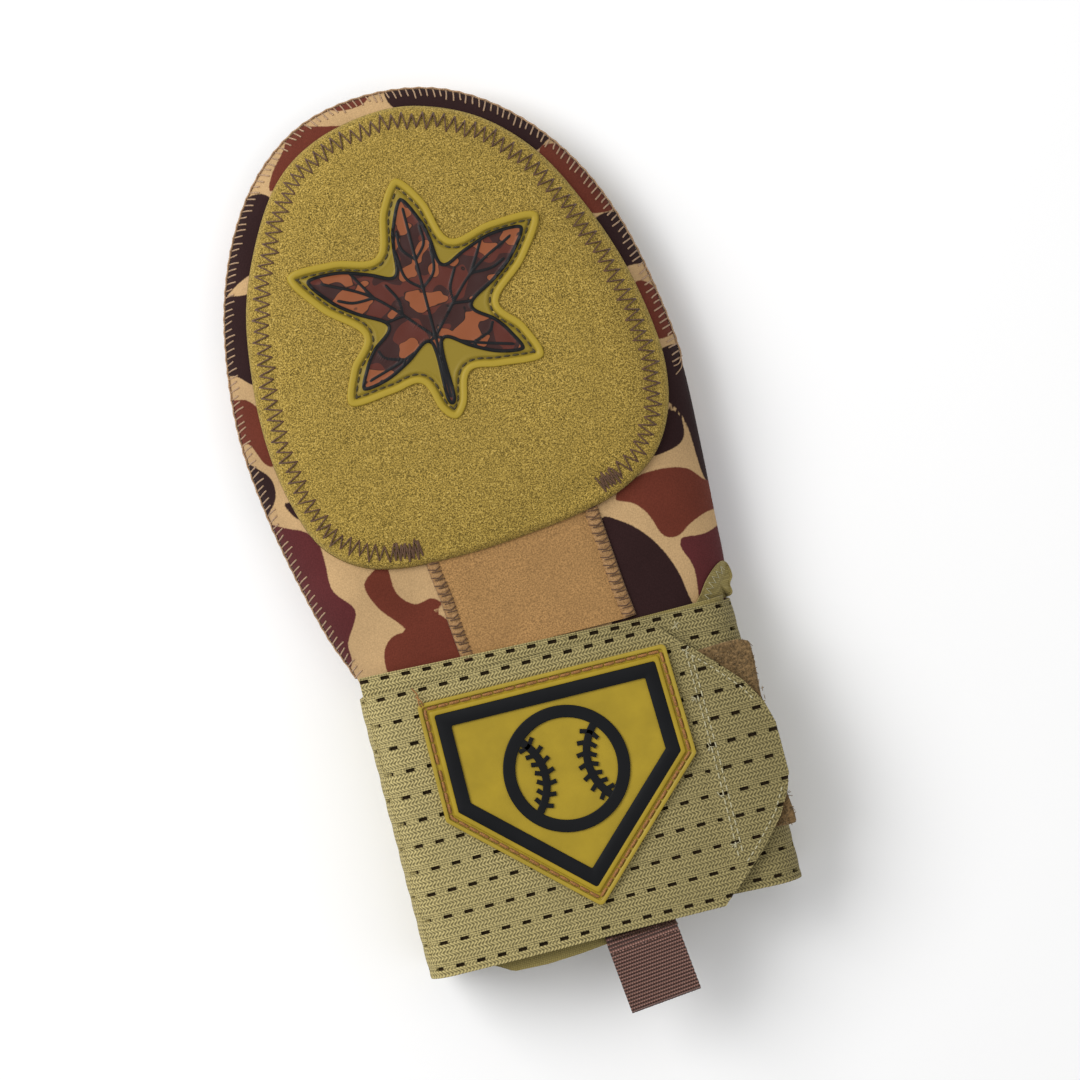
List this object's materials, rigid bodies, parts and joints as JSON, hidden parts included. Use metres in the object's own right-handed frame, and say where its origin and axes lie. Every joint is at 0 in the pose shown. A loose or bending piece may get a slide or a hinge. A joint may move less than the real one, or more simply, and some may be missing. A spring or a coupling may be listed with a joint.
{
  "type": "sliding mitt",
  "caption": "Flat padded guard mitt for one hand, closed at the fingertips, with a stretch gusset, a cuff and a wrap-round elastic wrist strap with a hook-and-loop end.",
  "frame": {"origin": "centre of the palm pad's flat underside, which the mitt rests on", "axes": "+X to the thumb side, +Y to the fingertips, +Z out of the back of the hand"},
  "size_m": [0.1577, 0.3288, 0.0438],
  "materials": {
    "camo_neoprene": "matte",
    "inner_jersey": "matte",
    "tan_stretch": "matte",
    "pad_brushed": "matte",
    "foam": "matte",
    "plate_plastic": "matte",
    "brown_thread": "matte",
    "tan_thread": "matte",
    "olive_sleeve": "matte",
    "olive_elastic": "matte",
    "loop_tan": "matte",
    "hook_tan": "matte",
    "badge_yellow": "satin",
    "soft_black": "matte",
    "crest_olive": "satin",
    "crest_brown": "matte",
    "brown_webbing": "satin"
  },
  "bodies": {
    "mitt": {"back_shell": "camo_neoprene", "palm_shell": "camo_neoprene", "stretch_gusset": "tan_stretch", "back_lining": "inner_jersey", "palm_lining": "inner_jersey", "back_plate": "plate_plastic", "palm_plate": "plate_plastic", "back_pad_foam": "foam", "palm_pad_foam": "foam", "back_pad_cover": "pad_brushed", "palm_pad_cover": "pad_brushed", "back_pad_zigzag": "brown_thread", "palm_pad_zigzag": "brown_thread", "edge_overlock_thread": "tan_thread", "gusset_seam_left": "brown_thread", "gusset_seam_right": "brown_thread", "thumb_tongue": "olive_elastic", "cuff_sleeve": "olive_sleeve", "elastic_wrap": "olive_elastic", "loop_panel": "loop_tan", "crest_base": "crest_olive", "crest_leaf": "crest_brown", "crest_stitching": "brown_thread", "pull_tab_root": "brown_webbing", "pull_tab_bartack": "brown_thread"},
    "strap_front": {"strap_front_band": "olive_elastic", "badge_base": "badge_yellow", "badge_border": "soft_black", "badge_ball_mark": "soft_black", "badge_stitching": "brown_thread"},
    "strap_end": {"strap_end_band": "olive_elastic", "hook_panel": "hook_tan", "strap_end_stitching": "tan_thread"},
    "pull_tab": {"pull_tab": "brown_webbing"}
  },
  "joints": [
    {"name": "strap_open", "type": "hinge", "parent": "mitt", "child": "strap_front", "pos_m": [-0.0488, -0.1655, 0.0407], "axis": [0, -1, 0], "range_deg": [0, 165]},
    {"name": "strap_end_peel", "type": "hinge", "parent": "strap_front", "child": "strap_end", "pos_m": [0.0486, -0.1655, 0.04165], "axis": [0, -1, 0], "range_deg": [0, 120]},
    {"name": "pull_tab_flex", "type": "hinge", "parent": "mitt", "child": "pull_tab", "pos_m": [0.0142, -0.2192, 0.03705], "axis": [-1, 0, 0], "range_deg": [-35, 90]}
  ]
}
